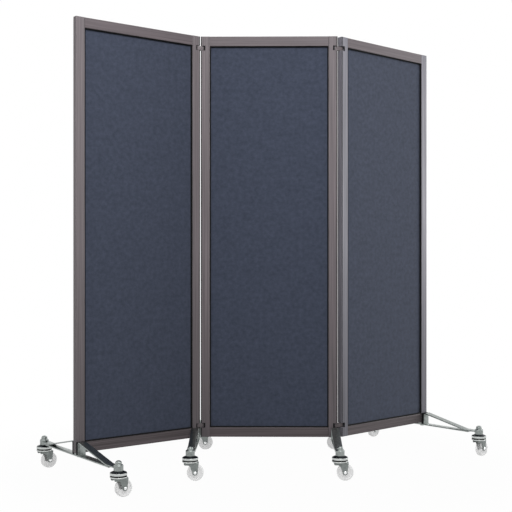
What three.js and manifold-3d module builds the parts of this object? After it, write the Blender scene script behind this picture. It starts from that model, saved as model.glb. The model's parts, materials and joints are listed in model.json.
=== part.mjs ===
// Three-panel folding privacy screen on casters, in millimetres, +Z up.
// The panels stand in the shallow Z of daily use: the left one swung forward (-Y), the right one back (+Y).
// The origin is the middle of the footprint's box, on the floor.
import * as THREE from "three";
import { mergeVertices } from "three/addons/utils/BufferGeometryUtils.js";
import Module from "manifold-3d";

const wasm = await Module();
wasm.setup();

// Panel frame: aluminium bars round a thin fabric-covered board.
const panelWidth = 580;
const panelHeight = 1700;
const panelDepth = 24;
const stileWidth = 38;
const railWidth = 41;
const barEdge = 2; // rounded long edges of the bars
const boardDepth = 6;
const boardBite = 8; // how far the board enters the groove of each bar
const grooveSlack = 1; // spare depth at the bottom of the groove

// Running and seating gap between neighbouring pieces.
const gap = 0.3;
const overrun = 10; // how far a cutting shape passes the face that it opens

// Hinges: a short link between two upright pins, one pin in each stile.
const pinInset = 12; // pin axis to the stile's edge
const linkReach = 34; // pin axis to pin axis
const linkHeight = 18;
const linkRadius = 6;
const linkFromEnd = 49; // link centre to the panel's top or bottom
const linkPlay = 1; // room above, below and behind a link in its notch
const pinRadius = 3;
const pinBite = 10; // pin length held in the stile beyond the notch

// How the panels stand: fold of each wing from the line of the centre panel, in degrees.
const leftFold = 38;
const rightFold = 43;

// Feet: flat bar bent to two long triangles, one on each side of a stile.
const footSpan = 313; // bolt axis to caster axis
const barWidth = 33;
const barThick = 5;
const strutRise = 46; // top of the upright above the frame's underside
const strutLanding = 245; // bolt axis to the place where the strut lands on the lower bar
const barLap = 20; // the lower bar ends this far beyond, and the strut goes on to the socket
const bendRadius = 7; // inside the bar's bends
const hingeFootRoom = 30; // bolt axis to the inner face of an upright that swings past the stile
const endFootRoom = 20; // the same on the fixed feet, which reach the stile with a lug
const lugHeight = 22;
const lugLift = 12; // lug's underside above the frame's underside
const padLength = 18; // raised pad that the stile stands on
const padHeight = 6.7;

// The bolt that holds a foot up to the stile.
const boltRadius = 5;
const boltBite = 22; // thread length in the stile
const boltHeadRadius = 8.5;
const boltHeadHeight = 5;

// Sockets at the ends of the bars, each closed by a domed nut.
const socketRadius = 16.5;
const socketDrop = 5; // how far the socket hangs below the lower bar
const socketBody = 20; // height of the round body under the shoulder
const shoulderHeight = 6;
const nutRadius = 10.5;
const nutHeight = 12;
const stemRadius = 5;
const stemLength = 20; // caster stem in the socket

// Casters.
const wheelRadius = 32.5;
const wheelWidth = 22;
const wheelShoulder = 3; // rounding of the tread's edges
const rimDepth = 7; // tread and rim, measured inwards from the rolling face
const hubRadius = 11;
const webSink = 4; // how far the web lies under the rim's side
const trail = 20; // caster axis to axle
const axleRadius = 4;
const axleHeadRadius = 6.2;
const axleHeadHeight = 2.6;
const forkPlate = 3;
const forkPlay = 1.5; // wheel side to fork leg
const crownPlay = 4; // wheel top to the crown's underside
const forkFront = 24; // crown edge ahead of the caster axis
const forkRear = 33; // crown edge behind the caster axis
const forkNose = 9.5; // rounding of the legs round the axle
const forkShin = 19; // length of the bend where the leg's front edge reaches the nose
const raceRadius = 32;
const raceFootRadius = 23; // where the race grows out of the crown
const raceTopRadius = 19;
const raceHeight = 24.7; // crown to the top of the race
const raceGroove = 2; // depth of the seal groove in the race
const raceShares = { rim: 0.3, groove: 0.42, dome: 0.56 }; // levels up the race's side

// Facets.
const roundSteps = 18;
const smallSteps = 12;
const pinSteps = 8;
const filletSteps = 2;

// Levels, from the floor up: the whole screen stands on its casters.
const crownBottom = wheelRadius + wheelRadius + crownPlay;
const crownTop = crownBottom + forkPlate;
const raceTop = crownTop + raceHeight;
const socketBottom = raceTop + gap;
const barBottom = socketBottom + socketDrop;
const barTop = barBottom + barThick;
const padTop = barTop + padHeight;
const panelLift = padTop + gap; // underside of the panels' frames
const panelTop = panelLift + panelHeight;

const halfTurn = 180;
const radians = (degrees) => (degrees * Math.PI) / halfTurn;
const mid = (whole) => whole / 2;

const finish = (color, roughness, metalness) => () =>
  new THREE.MeshStandardMaterial({ color, roughness, metalness });
const frameFinish = finish("#6f6669", 0.42, 0.55);
const fabricFinish = finish("#3c4453", 0.95, 0);
const zincFinish = finish("#7c8583", 0.35, 0.9);
const darkSteelFinish = finish("#2b3038", 0.4, 0.7);
const wheelFinish = finish("#e4e4e4", 0.3, 0);

// Shapes and solids.

// A closed outline whose corners are rounded, each corner as [x, y, radius].
// A radius is limited by the shorter of the two sides that meet there.
function roundedOutline(corners, path = new THREE.Shape()) {
  const points = corners.map(([x, y]) => new THREE.Vector2(x, y));
  points.forEach((corner, i) => {
    const before = points[(i + points.length - 1) % points.length];
    const after = points[(i + 1) % points.length];
    const back = before.clone().sub(corner);
    const ahead = after.clone().sub(corner);
    const halfAngle = mid(Math.acos(back.dot(ahead) / (back.length() * ahead.length())));
    const room = mid(Math.min(back.length(), ahead.length()));
    const trim = Math.min((corners[i][2] ?? 0) / Math.tan(halfAngle), room);
    const enter = corner.clone().add(back.setLength(trim));
    const leave = corner.clone().add(ahead.setLength(trim));
    if (i === 0) path.moveTo(enter.x, enter.y);
    else path.lineTo(enter.x, enter.y);
    if (trim > 0) path.quadraticCurveTo(corner.x, corner.y, leave.x, leave.y);
  });
  path.closePath();
  return path;
}

const rectangle = (x0, y0, x1, y1, radius = 0) =>
  roundedOutline([
    [x0, y0, radius],
    [x1, y0, radius],
    [x1, y1, radius],
    [x0, y1, radius],
  ]);

// A prism standing on z = from.
function prism(shape, from, height) {
  const body = new THREE.ExtrudeGeometry(shape, {
    depth: height,
    bevelEnabled: false,
    curveSegments: filletSteps,
  });
  return body.translate(0, 0, from);
}

const axesTo = (x, y, z) => new THREE.Matrix4().makeBasis(x, y, z);
const alongX = new THREE.Vector3(1, 0, 0);
const alongY = new THREE.Vector3(0, 1, 0);
const alongZ = new THREE.Vector3(0, 0, 1);

// A profile drawn as (y, z) and carried along X, centred.
const prismAlongX = (shape, length) =>
  prism(shape, -mid(length), length).applyMatrix4(axesTo(alongY, alongZ, alongX));

// A profile drawn as (z, x) and carried along Y, centred.
const prismAlongY = (shape, length) =>
  prism(shape, -mid(length), length).applyMatrix4(axesTo(alongZ, alongX, alongY));

// A body turned about Z from [radius, z] points, run so that its faces point out.
// A profile that doesn't start on the axis closes on itself.
function turned(profile, steps) {
  const points = profile.map(([r, z]) => new THREE.Vector2(r, z));
  if (THREE.ShapeUtils.area(points) < 0) points.reverse();
  if (profile[0][0] > 0) points.push(points[0].clone());
  return new THREE.LatheGeometry(points, steps).rotateX(mid(Math.PI));
}

const rod = (radius, from, to, steps = smallSteps) =>
  turned(
    [
      [0, from],
      [radius, from],
      [radius, to],
      [0, to],
    ],
    steps,
  );

const layAlongY = (geometry) => geometry.rotateX(-mid(Math.PI));

function solidOf(geometry) {
  const bare = geometry.clone();
  bare.deleteAttribute("normal");
  bare.deleteAttribute("uv");
  const merged = mergeVertices(bare);
  const vertProperties = merged.attributes.position.array;
  const triVerts = new Uint32Array(merged.index.array);
  return new wasm.Manifold(new wasm.Mesh({ numProp: 3, vertProperties, triVerts }));
}

function geometryOf(solid) {
  const { numProp, vertProperties, triVerts } = solid.getMesh();
  const geometry = new THREE.BufferGeometry();
  geometry.setAttribute("position", new THREE.BufferAttribute(vertProperties, numProp));
  geometry.setIndex(new THREE.BufferAttribute(triVerts, 1));
  return geometry.toNonIndexed();
}

const cut = (body, ...tools) =>
  geometryOf(tools.reduce((left, tool) => left.subtract(solidOf(tool)), solidOf(body)));

const fuse = (body, ...others) =>
  geometryOf(others.reduce((all, other) => all.add(solidOf(other)), solidOf(body)));

function piece(parent, name, geometry, material) {
  geometry.computeVertexNormals();
  const mesh = new THREE.Mesh(geometry, material());
  mesh.name = name;
  parent.add(mesh);
  return mesh;
}

function place(parent, x, y, degrees = 0) {
  const group = new THREE.Group();
  group.position.set(x, y, 0);
  group.rotation.z = radians(degrees);
  parent.add(group);
  return group;
}

// Panels. A panel's own frame has its left edge at x = 0 and its mid-plane at y = 0.

const grooveDepth = boardBite + grooveSlack;
const grooveWidth = boardDepth + gap + gap;
const linkLevels = { top: panelTop - linkFromEnd, bottom: panelLift + linkFromEnd };
const notchHeight = linkHeight + linkPlay + linkPlay;
const pinLength = notchHeight + pinBite + pinBite;

// The section of a bar with its groove on the +x side, from x = 0 to x = face.
function grooveSection(face) {
  const d = mid(panelDepth);
  const g = mid(grooveWidth);
  return roundedOutline([
    [0, -d, barEdge],
    [face, -d, barEdge],
    [face, -g],
    [face - grooveDepth, -g],
    [face - grooveDepth, g],
    [face, g],
    [face, d, barEdge],
    [0, d, barEdge],
  ]);
}

// What a hinged stile loses: a notch and a pin bore at each link.
function hingeCuts() {
  const inner = pinInset + linkRadius + linkPlay;
  const side = mid(panelDepth) + overrun;
  return Object.values(linkLevels).flatMap((level) => [
    prism(rectangle(-overrun, -side, inner, side), level - mid(notchHeight), notchHeight),
    rod(
      pinRadius + gap,
      level - mid(pinLength) - gap,
      level + mid(pinLength) + gap,
      pinSteps,
    ).translate(pinInset, 0, 0),
  ]);
}

// The bore that a foot's bolt is screwed into, from below: on the pins' axis in a hinged stile,
// and in the middle of an end one.
function boltBore(hinged) {
  const inset = hinged ? pinInset : mid(stileWidth);
  const top = panelLift + boltBite + gap;
  return rod(boltRadius + gap, panelLift - overrun, top).translate(inset, 0, 0);
}

function stile({ hinged, footed }) {
  const bar = prism(grooveSection(stileWidth), panelLift, panelHeight);
  const tools = [...(hinged ? hingeCuts() : []), ...(footed ? [boltBore(hinged)] : [])];
  return tools.length ? cut(bar, ...tools) : bar;
}

// A rail lies along X between the stiles, its groove facing up (bottom rail) or down (top rail).
function rail(facesUp) {
  const length = panelWidth - stileWidth - stileWidth - gap - gap;
  const bar = prism(grooveSection(railWidth), -mid(length), length);
  bar.applyMatrix4(axesTo(alongZ, alongY, alongX.clone().negate()));
  if (!facesUp) bar.rotateX(Math.PI);
  return bar.translate(mid(panelWidth), 0, facesUp ? panelLift : panelTop);
}

function board() {
  const inX = stileWidth - boardBite;
  const inZ = railWidth - boardBite;
  const outline = rectangle(inX, panelLift + inZ, panelWidth - inX, panelTop - inZ);
  return prism(outline, -mid(boardDepth), boardDepth).rotateX(mid(Math.PI));
}

// left and right say what each stile carries: { hinged, footed }.
function addPanel(parent, name, left, right) {
  piece(parent, `${name}_left_stile`, stile(left), frameFinish);
  const rightStile = piece(parent, `${name}_right_stile`, stile(right), frameFinish);
  rightStile.rotation.z = Math.PI;
  rightStile.position.x = panelWidth;
  piece(parent, `${name}_bottom_rail`, rail(true), frameFinish);
  piece(parent, `${name}_top_rail`, rail(false), frameFinish);
  piece(parent, `${name}_fabric_board`, board(), fabricFinish);
}

// Hinges.

// A link in its own frame: one pin at x = 0, the other at x = linkReach.
function link(level) {
  const r = linkRadius;
  const plate = prism(
    rectangle(-r, -r, linkReach + r, r, r),
    level - mid(linkHeight),
    linkHeight,
  );
  const past = mid(linkHeight) + overrun;
  const bore = () => rod(pinRadius + gap, level - past, level + past, pinSteps);
  return cut(plate, bore(), bore().translate(linkReach, 0, 0));
}

// side is the name of the hinge; the link lies at `degrees` from +X, starting at its first pin.
function addHinge(root, side, first, second, degrees) {
  for (const [end, level] of Object.entries(linkLevels)) {
    const at = place(root, first.x, first.y, degrees);
    piece(at, `${side}_hinge_${end}_link`, link(level), frameFinish);
    const pin = () => rod(pinRadius, level - mid(pinLength), level + mid(pinLength), pinSteps);
    const here = place(root, first.x, first.y);
    piece(here, `${side}_hinge_${end}_left_pin`, pin(), darkSteelFinish);
    const there = place(root, second.x, second.y);
    piece(there, `${side}_hinge_${end}_right_pin`, pin(), darkSteelFinish);
  }
}

// Feet. A foot's own frame has its bolt on the Z axis and its arms along -Y and +Y.

// Half of the bar's outline, for y > 0, from the floor side round to the pad.
function armCorners(room, lugged) {
  const outer = room + barThick;
  const top = panelLift + strutRise;
  const lugTip = mid(panelDepth) + gap;
  const lugFoot = panelLift + lugLift;
  const lug = [
    [room, lugFoot + lugHeight],
    [lugTip, lugFoot + lugHeight],
    [lugTip, lugFoot],
    [room, lugFoot],
  ];
  const tail = footSpan - mid(socketRadius);
  return [
    [strutLanding + barLap, barBottom],
    [strutLanding + barLap, barTop],
    [tail, barTop],
    [tail, barTop + barThick],
    [strutLanding, barTop + barThick, bendRadius + barThick],
    [outer, top, barThick],
    [room, top],
    ...(lugged ? lug : []),
    [room, barTop, bendRadius],
    [mid(padLength), barTop],
    [mid(padLength), padTop],
  ];
}

// The long triangular window between an arm's upright, strut and lower bar.
function armWindow(room) {
  const outer = room + barThick;
  const top = panelLift + strutRise;
  const slope = (top - barTop - barThick) / (strutLanding - outer);
  const underside = top - barThick * Math.hypot(1, slope);
  const tip = outer + (underside - barTop) / slope;
  return [
    [outer, barTop, bendRadius],
    [tip, barTop, mid(barThick)],
    [outer, underside, bendRadius],
  ];
}

const mirrored = (corners) => corners.map(([y, ...rest]) => [-y, ...rest]).reverse();

function socket(y) {
  const shoulder = socketBottom + socketBody;
  const nutFoot = shoulder + shoulderHeight;
  return turned(
    [
      [0, socketBottom + stemLength + gap],
      [stemRadius + gap, socketBottom + stemLength + gap],
      [stemRadius + gap, socketBottom],
      [socketRadius, socketBottom],
      [socketRadius, shoulder],
      [nutRadius, nutFoot],
      [nutRadius, nutFoot + mid(nutHeight)],
      [mid(nutRadius), nutFoot + nutHeight],
      [0, nutFoot + nutHeight],
    ],
    smallSteps,
  ).translate(0, y, 0);
}

function footBody(room, lugged) {
  const half = armCorners(room, lugged);
  const outline = roundedOutline([...half, ...mirrored(half)]);
  outline.holes = [armWindow(room), mirrored(armWindow(room))].map((corners) =>
    roundedOutline(corners, new THREE.Path()),
  );
  const frame = prismAlongX(outline, barWidth);
  const welded = fuse(frame, socket(footSpan), socket(-footSpan));
  return cut(welded, rod(boltRadius + gap, barBottom - overrun, panelLift));
}

const footBolt = () =>
  turned(
    [
      [0, barBottom - gap - boltHeadHeight],
      [boltHeadRadius, barBottom - gap - boltHeadHeight],
      [boltHeadRadius, barBottom - gap],
      [boltRadius, barBottom - gap],
      [boltRadius, panelLift + boltBite],
      [0, panelLift + boltBite],
    ],
    smallSteps,
  );

function addFoot(parent, name, x, y, lugged) {
  const foot = place(parent, x, y);
  const room = lugged ? endFootRoom : hingeFootRoom;
  piece(foot, `${name}_foot`, footBody(room, lugged), zincFinish);
  piece(foot, `${name}_foot_bolt`, footBolt(), zincFinish);
  addCaster(place(foot, 0, -footSpan), `${name}_front`);
  addCaster(place(foot, 0, footSpan), `${name}_back`);
}

// Casters. A caster's own frame has its swivel axis on Z, and the wheel trails along +X.

const forkGap = wheelWidth + forkPlay + forkPlay;
const forkWidth = forkGap + forkPlate + forkPlate;

// Race and stem, turned in one piece.
function race() {
  return turned(
    [
      [0, crownBottom],
      [raceFootRadius, crownBottom],
      [raceRadius, crownTop],
      [raceRadius, crownTop + raceHeight * raceShares.rim],
      [raceRadius - raceGroove, crownTop + raceHeight * raceShares.groove],
      [raceRadius - mid(raceGroove), crownTop + raceHeight * raceShares.dome],
      [raceTopRadius, raceTop],
      [stemRadius, raceTop],
      [stemRadius, socketBottom + stemLength],
      [0, socketBottom + stemLength],
    ],
    roundSteps,
  );
}

// The fork: a bent plate whose legs taper down to the axle. Its side is drawn as (z, x).
function fork() {
  const side = roundedOutline([
    [crownTop, -forkFront],
    [crownBottom - forkPlate, -forkFront, forkPlate],
    [wheelRadius + forkNose, trail - forkShin, forkShin],
    [wheelRadius - forkNose, trail - forkNose, forkNose],
    [wheelRadius - forkNose, trail + forkNose, forkNose],
    [wheelRadius + forkNose, trail + forkNose, forkNose],
    [crownBottom - forkPlate, forkRear, forkPlate],
    [crownTop, forkRear],
  ]);
  const block = prismAlongY(side, forkWidth);
  const slot = prismAlongY(
    rectangle(0, -forkFront - overrun, crownBottom, forkRear + overrun),
    forkGap,
  );
  const bore = layAlongY(rod(axleRadius + gap, -forkWidth, forkWidth)).translate(
    trail,
    0,
    wheelRadius,
  );
  return fuse(cut(block, slot, bore), race());
}

function axle() {
  const face = mid(forkWidth) + gap;
  const tip = face + axleHeadHeight;
  const rivet = turned(
    [
      [0, -tip],
      [axleHeadRadius, -face],
      [axleRadius, -face],
      [axleRadius, face],
      [axleHeadRadius, face],
      [0, tip],
    ],
    smallSteps,
  );
  return layAlongY(rivet).translate(trail, 0, wheelRadius);
}

function wheel() {
  const side = mid(wheelWidth);
  const rim = wheelRadius - rimDepth;
  const half = [
    [axleRadius + gap, side + forkPlay - gap],
    [hubRadius, side + forkPlay - gap],
    [hubRadius + webSink, side - webSink],
    [rim - webSink, side - webSink],
    [rim, side],
    [wheelRadius - wheelShoulder, side],
    [wheelRadius, side - wheelShoulder],
  ];
  const otherHalf = half.map(([r, y]) => [r, -y]).reverse();
  return layAlongY(turned([...half, ...otherHalf], roundSteps)).translate(trail, 0, wheelRadius);
}

function addCaster(at, name) {
  piece(at, `${name}_fork`, fork(), zincFinish);
  piece(at, `${name}_axle`, axle(), zincFinish);
  piece(at, `${name}_wheel`, wheel(), wheelFinish);
}

// The whole screen. The centre panel lies along X, and each wing hangs on the far pin of its links.

const screen = new THREE.Group();
const shownFold = { left: leftFold, right: rightFold };
const centrePin = mid(panelWidth) - pinInset;

function farPin(sign, fold) {
  const turn = radians(mid(fold));
  return {
    x: sign * (centrePin + linkReach * Math.cos(turn)),
    y: sign * linkReach * Math.sin(turn),
  };
}

const leftPins = { centre: { x: -centrePin, y: 0 }, wing: farPin(-1, shownFold.left) };
const rightPins = { centre: { x: centrePin, y: 0 }, wing: farPin(1, shownFold.right) };

const centre = place(screen, -mid(panelWidth), 0);
addPanel(
  centre,
  "centre_panel",
  { hinged: true, footed: false },
  { hinged: true, footed: true },
);

const leftWing = place(screen, leftPins.wing.x, leftPins.wing.y, shownFold.left);
const leftOffset = place(leftWing, pinInset - panelWidth, 0);
addPanel(
  leftOffset,
  "left_panel",
  { hinged: false, footed: true },
  { hinged: true, footed: true },
);

const rightWing = place(screen, rightPins.wing.x, rightPins.wing.y, shownFold.right);
const rightOffset = place(rightWing, -pinInset, 0);
addPanel(
  rightOffset,
  "right_panel",
  { hinged: true, footed: false },
  { hinged: false, footed: true },
);

addHinge(screen, "left", leftPins.wing, leftPins.centre, mid(shownFold.left));
addHinge(screen, "right", rightPins.centre, rightPins.wing, mid(shownFold.right));

addFoot(leftOffset, "left_end", mid(stileWidth), 0, true);
addFoot(screen, "left_hinge", leftPins.wing.x, leftPins.wing.y, false);
addFoot(screen, "right_hinge", rightPins.centre.x, rightPins.centre.y, false);
addFoot(rightOffset, "right_end", panelWidth - mid(stileWidth), 0, true);

// Bring the middle of the footprint to the origin, with the wheels on the floor.
const reach = new THREE.Box3().setFromObject(screen, true);
const middle = reach.getCenter(new THREE.Vector3());
screen.position.set(-middle.x, -middle.y, -reach.min.z);

export default screen;
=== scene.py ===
"""Folding privacy screen on casters: its finishes, cloth, fittings, studio and camera.

Everything is in metres, +Z up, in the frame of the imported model. Sizes of fittings are given in
millimetres and multiplied by MM. The screen's front faces -Y.
"""

from __future__ import annotations

import json
import logging
import math
from dataclasses import dataclass, field, replace
from enum import Enum
from typing import Any, Iterable, Sequence

import bmesh
import bpy
from mathutils import Matrix, Vector

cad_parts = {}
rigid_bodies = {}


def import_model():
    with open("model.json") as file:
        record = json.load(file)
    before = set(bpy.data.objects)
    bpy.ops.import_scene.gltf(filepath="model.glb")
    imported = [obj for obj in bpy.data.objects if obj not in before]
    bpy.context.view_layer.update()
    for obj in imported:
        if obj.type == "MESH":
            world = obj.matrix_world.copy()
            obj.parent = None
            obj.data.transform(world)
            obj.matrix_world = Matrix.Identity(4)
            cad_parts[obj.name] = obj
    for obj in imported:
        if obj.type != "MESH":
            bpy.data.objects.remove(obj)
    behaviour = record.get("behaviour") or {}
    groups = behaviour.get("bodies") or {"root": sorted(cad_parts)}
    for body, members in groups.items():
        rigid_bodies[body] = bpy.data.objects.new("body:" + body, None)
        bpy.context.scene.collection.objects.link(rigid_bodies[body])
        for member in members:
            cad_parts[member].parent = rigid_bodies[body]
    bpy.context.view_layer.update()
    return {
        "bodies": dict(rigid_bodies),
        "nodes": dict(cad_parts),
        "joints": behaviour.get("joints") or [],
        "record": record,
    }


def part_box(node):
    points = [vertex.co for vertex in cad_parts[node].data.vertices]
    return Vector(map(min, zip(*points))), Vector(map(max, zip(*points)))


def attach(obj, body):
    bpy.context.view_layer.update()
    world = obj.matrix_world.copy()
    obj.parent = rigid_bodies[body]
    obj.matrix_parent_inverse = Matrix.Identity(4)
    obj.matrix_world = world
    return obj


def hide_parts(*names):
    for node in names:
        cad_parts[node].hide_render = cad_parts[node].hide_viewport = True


log = logging.getLogger("privacy_screen")

MM = 0.001
SKIN = 0.05 * MM  # room between two faces that lie on each other
STAY = Matrix.Identity(4)
CLOUDY = {"From Min": 0.3, "From Max": 0.7}  # what most values of a cloudy pattern lie between
FRAME: dict[str, Any] = {}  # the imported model, filled in by main

Corner = tuple[float, float, float]
Point = tuple[float, float]
Mesh = bpy.types.Mesh
Node = bpy.types.Node
Socket = bpy.types.NodeSocket
Tree = bpy.types.NodeTree


# Node trees.


def linear(colour: str) -> tuple[float, float, float, float]:
    """Turns an sRGB hex colour into the linear colour that a shader takes.

    Args:
        colour: Six hex digits after a hash.

    Returns:
        Red, green, blue and an alpha of 1.
    """
    values = [int(colour[i : i + 2], 16) / 255 for i in (1, 3, 5)]
    curve = [v / 12.92 if v <= 0.04045 else ((v + 0.055) / 1.055) ** 2.4 for v in values]
    return (*curve, 1.0)


def feed(tree: Tree, node: Node, inputs: dict[Any, Any]) -> None:
    """Links or fills inputs of a node.

    Args:
        tree: The node's tree.
        node: The node.
        inputs: For each socket's name or number, a value, an output, or a node whose first
            output feeds it.
    """
    for key, value in inputs.items():
        if isinstance(value, Node):
            value = value.outputs[0]
        if isinstance(value, Socket):
            tree.links.new(value, node.inputs[key])
        else:
            node.inputs[key].default_value = value


def add_node(tree: Tree, kind: str, inputs: dict[Any, Any] | None = None, **settings: Any) -> Node:
    """Adds one node with its settings, and links or fills its inputs.

    Args:
        tree: The tree that gets the node.
        kind: The node's type.
        inputs: What its inputs take, as feed reads it.
        **settings: The node's own properties.

    Returns:
        The new node.
    """
    node = tree.nodes.new(kind)
    for key, value in settings.items():
        setattr(node, key, value)
    feed(tree, node, inputs or {})
    return node


# Finishes.


class Source(Enum):
    """The coordinates that a pattern lies on."""

    OBJECT = "Object"
    CLOTH = "UV"


class Grain(Enum):
    """Which way the die lines of a drawn bar run."""

    UPRIGHT = "upright"
    LEVEL = "level"


class Slot(Enum):
    """The record's material slots."""

    FRAME = "frame"
    FABRIC = "fabric"
    ZINC = "zinc"
    DARK_STEEL = "dark_steel"
    WHEEL = "wheel"


@dataclass(frozen=True)
class Finish:
    """A surface finish, and the start of its material."""

    name: str
    slot: Slot
    colour: str
    roughness: float
    metallic: float = 0.0
    light: str = ""  # the colour of its brightest parts, where its pattern has some
    swing: Point = (0.0, 0.0)  # what its pattern's dark and bright parts add to the roughness
    relief: float = 0.0  # how deep its relief is

    def material(self) -> bpy.types.Material:
        """Makes the material the first time it is asked for.

        Returns:
            The finish's only material.
        """
        known = bpy.data.materials.get(self.name)
        if known:
            return known
        material = bpy.data.materials.new(self.name)
        material.use_nodes = True
        tree = material.node_tree
        tree.nodes.clear()
        shader = add_node(
            tree,
            "ShaderNodeBsdfPrincipled",
            {
                "Base Color": linear(self.colour),
                "Roughness": self.roughness,
                "Metallic": self.metallic,
            },
        )
        feed(tree, shader, self.dress(tree))
        add_node(tree, "ShaderNodeOutputMaterial", {"Surface": shader})
        return material

    def dress(self, tree: Tree) -> dict[str, Any]:
        """Makes the pattern of the finish. A plain finish has none.

        Args:
            tree: The material's tree.

        Returns:
            What the shader's inputs take.
        """
        return {}

    def pattern(
        self,
        tree: Tree,
        size: Sequence[float],
        source: Source = Source.OBJECT,
        turn: float = 0.0,
        detail: float = 3.0,
    ) -> Socket:
        """Makes a cloudy pattern of a real size.

        Args:
            tree: The material's tree.
            size: Length of a cloud along the pattern's X, Y and Z, in metres.
            source: The coordinates it lies on.
            turn: How far the pattern is turned about Z, in radians.
            detail: How many finer layers it has.

        Returns:
            An output from 0 to 1, around 0.5.
        """
        place = add_node(tree, "ShaderNodeTexCoord").outputs[source.value]
        turned = add_node(
            tree, "ShaderNodeMapping", {"Vector": place, "Rotation": (0.0, 0.0, -turn)}
        )
        scaled = add_node(
            tree, "ShaderNodeMapping", {"Vector": turned, "Scale": tuple(1 / s for s in size)}
        )
        cloud = add_node(
            tree,
            "ShaderNodeTexNoise",
            {"Vector": scaled, "Scale": 1.0, "Detail": detail, "Roughness": 0.6},
        )
        return cloud.outputs["Fac"]

    def tint(self, tree: Tree, cloud: Socket) -> Node:
        """Runs the colour from dark to light with a cloudy pattern.

        Args:
            tree: The material's tree.
            cloud: The pattern.

        Returns:
            The node that gives the colour.
        """
        share = add_node(tree, "ShaderNodeMapRange", {"Value": cloud, **CLOUDY})
        colours = {"Color1": linear(self.colour), "Color2": linear(self.light)}
        return add_node(tree, "ShaderNodeMixRGB", {"Fac": share, **colours})

    def skin(self, tree: Tree, height: Any, cloud: Socket | None = None) -> dict[str, Any]:
        """Gives the surface its relief, and lets its gloss swing with a cloudy pattern.

        Args:
            tree: The material's tree.
            height: The pattern of the relief, from 0 to 1.
            cloud: The pattern of the gloss, if it has one.

        Returns:
            What the shader's inputs take.
        """
        bump = {"Height": height, "Distance": self.relief, "Strength": 1.0}
        inputs = {"Normal": add_node(tree, "ShaderNodeBump", bump)}
        if cloud:
            low, high = (self.roughness + step for step in self.swing)
            gloss = {"Value": cloud, "To Min": low, "To Max": high, **CLOUDY}
            inputs["Roughness"] = add_node(tree, "ShaderNodeMapRange", gloss)
        return inputs


@dataclass(frozen=True)
class CoatedAluminium(Finish):
    """Drawn aluminium bar under a thin bronze-grey coat: faint die lines along it, low sheen."""

    swing: Point = (0.05, -0.05)
    relief: float = 0.012 * MM
    specular: float = 0.35
    grain: Grain = Grain.UPRIGHT
    turn: float = 0.0
    line_width: float = 3.5 * MM  # real lines are finer; this is as coarse as shows
    line_length: float = 420 * MM
    grit: float = 0.9 * MM
    painted_shade_from: float = 900 * MM  # painted shade: below this height the colour is darkened, most at the floor
    # painted shade: the share of the colour that is left at the floor
    painted_shade_share: float = 0.66

    def dress(self, tree: Tree) -> dict[str, Any]:
        """Draws die lines in colour and gloss, and grit in the relief, with painted shade that
        darkens the colour near the floor.

        Args:
            tree: The material's tree.

        Returns:
            What the shader's inputs take.
        """
        size = (self.line_width, self.line_width, self.line_length)
        upright = self.grain is Grain.UPRIGHT
        lines = self.pattern(tree, size if upright else size[::-1], turn=self.turn)
        place = add_node(tree, "ShaderNodeTexCoord").outputs["Object"]
        height = add_node(tree, "ShaderNodeSeparateXYZ", {0: place}).outputs["Z"]
        # Painted shade: below a set height the colour is scaled down, most at the floor.
        low = {"From Max": self.painted_shade_from, "To Min": self.painted_shade_share, "To Max": 1.0}
        share = add_node(tree, "ShaderNodeMapRange", {"Value": height, **low})
        shaded_tone = {0: self.tint(tree, lines), "Scale": share}
        return {
            "Base Color": add_node(tree, "ShaderNodeVectorMath", shaded_tone, operation="SCALE"),
            "Specular IOR Level": self.specular,
            **self.skin(tree, self.pattern(tree, (self.grit,) * 3), lines),
        }


@dataclass(frozen=True)
class PanelCloth(Finish):
    """Plain-woven polyester panel cloth: a matt slate blue, mottled by uneven threads."""

    relief: float = 0.12 * MM
    specular: float = 0.25
    sheen: float = 0.12
    sheen_roughness: float = 0.6
    thread: float = 1.7 * MM  # real threads are about 0.6 mm, too fine to show even close up
    slub: float = 1.2  # how unevenly the threads run
    mottle: float = 17 * MM
    cloud: float = 60 * MM
    fleck: float = 6 * MM
    mottle_share: float = 0.66
    fleck_share: float = 0.14

    def dress(self, tree: Tree) -> dict[str, Any]:
        """Weaves warp and weft into the relief, and mottles the colour at three sizes.

        Args:
            tree: The material's tree.

        Returns:
            What the shader's inputs take.
        """
        place = add_node(tree, "ShaderNodeTexCoord").outputs["UV"]
        band = math.pi / 10  # how wide one band of the wave is at a scale of 1
        wave = {
            "Vector": place,
            "Scale": band / self.thread,
            "Distortion": self.slub,
            "Detail": 1.0,
            "Detail Scale": self.slub / 2,
        }
        warp, weft = (
            add_node(tree, "ShaderNodeTexWave", wave, bands_direction=way).outputs["Fac"]
            for way in "XY"
        )
        weave = add_node(tree, "ShaderNodeMath", {0: warp, 1: weft}, operation="MAXIMUM")
        share: Any = 0.0
        for size, most, detail in (
            (self.mottle, self.mottle_share, 2.0),
            (self.fleck, self.fleck_share, 1.0),
            (self.cloud, 1 - self.mottle_share - self.fleck_share, 1.0),
        ):
            cloud = self.pattern(tree, (size,) * 3, Source.CLOTH, detail=detail)
            part = add_node(tree, "ShaderNodeMapRange", {"Value": cloud, "To Max": most, **CLOUDY})
            share = add_node(tree, "ShaderNodeMath", {0: share, 1: part}, operation="ADD")
        colours = {"Color1": linear(self.colour), "Color2": linear(self.light)}
        return {
            "Base Color": add_node(tree, "ShaderNodeMixRGB", {"Fac": share, **colours}),
            "Sheen Weight": self.sheen,
            "Sheen Roughness": self.sheen_roughness,
            "Specular IOR Level": self.specular,
            **self.skin(tree, weave),
        }


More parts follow.
